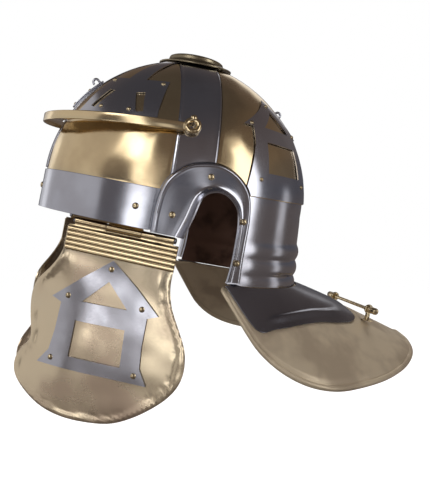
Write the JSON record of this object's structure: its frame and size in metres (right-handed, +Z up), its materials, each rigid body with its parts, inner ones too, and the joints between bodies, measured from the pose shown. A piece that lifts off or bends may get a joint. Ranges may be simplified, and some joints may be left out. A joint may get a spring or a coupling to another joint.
{
  "type": "roman legionary helmet",
  "caption": "Steel helmet bowl with brass panels, riveted steel plates, brow and ear guards, broad neck guard and hinged cheek guards.",
  "frame": {"origin": "inside of the crown, on the middle line, where the wearer's head carries the helmet", "axes": "+X to the wearer's left, +Y to the wearer's back, +Z up, with the helmet tilted nose-up as in the picture"},
  "size_m": [0.249, 0.3705, 0.3126],
  "materials": {
    "steel": "polished sheet steel",
    "brass": "polished sheet brass",
    "tarnished_brass": "dull brass with handling marks"
  },
  "bodies": {
    "helmet": {"brow_band": "steel", "brow_guard": "brass", "carrying_handle": "brass", "crest_disc": "brass", "crest_hook_front": "steel", "crest_hook_rear": "steel", "crest_strap": "steel", "ear_guard_left": "steel", "ear_guard_right": "steel", "front_panel_left": "brass", "front_panel_right": "brass", "front_plate_left": "steel", "front_plate_right": "steel", "handle_eye_left": "brass", "handle_eye_right": "brass", "hinge_leaf_left": "brass", "hinge_leaf_right": "brass", "hinge_pin_left": "steel", "hinge_pin_right": "steel", "neck_guard": "tarnished_brass", "neck_overlay": "steel", "rear_panel_left": "brass", "rear_panel_right": "brass", "side_strap_left": "steel", "side_strap_right": "steel", "skull": "steel", "temple_plate_left": "steel", "temple_plate_right": "steel"},
    "cheek_left": {"cheek_guard_left": "brass", "cheek_hinge_band_left": "brass", "cheek_temple_left": "steel"},
    "cheek_right": {"cheek_guard_right": "brass", "cheek_hinge_band_right": "brass", "cheek_temple_right": "steel"}
  },
  "joints": [
    {"name": "cheek_hinge_left", "type": "hinge", "parent": "helmet", "child": "cheek_left", "pos_m": [0.07725, -0.07798, -0.14129], "axis": [-0.4156, -0.8913, 0.1813], "range_deg": [-8, 85]},
    {"name": "cheek_hinge_right", "type": "hinge", "parent": "helmet", "child": "cheek_right", "pos_m": [-0.07725, -0.07798, -0.14129], "axis": [-0.4156, 0.8913, -0.1813], "range_deg": [-8, 85]}
  ]
}
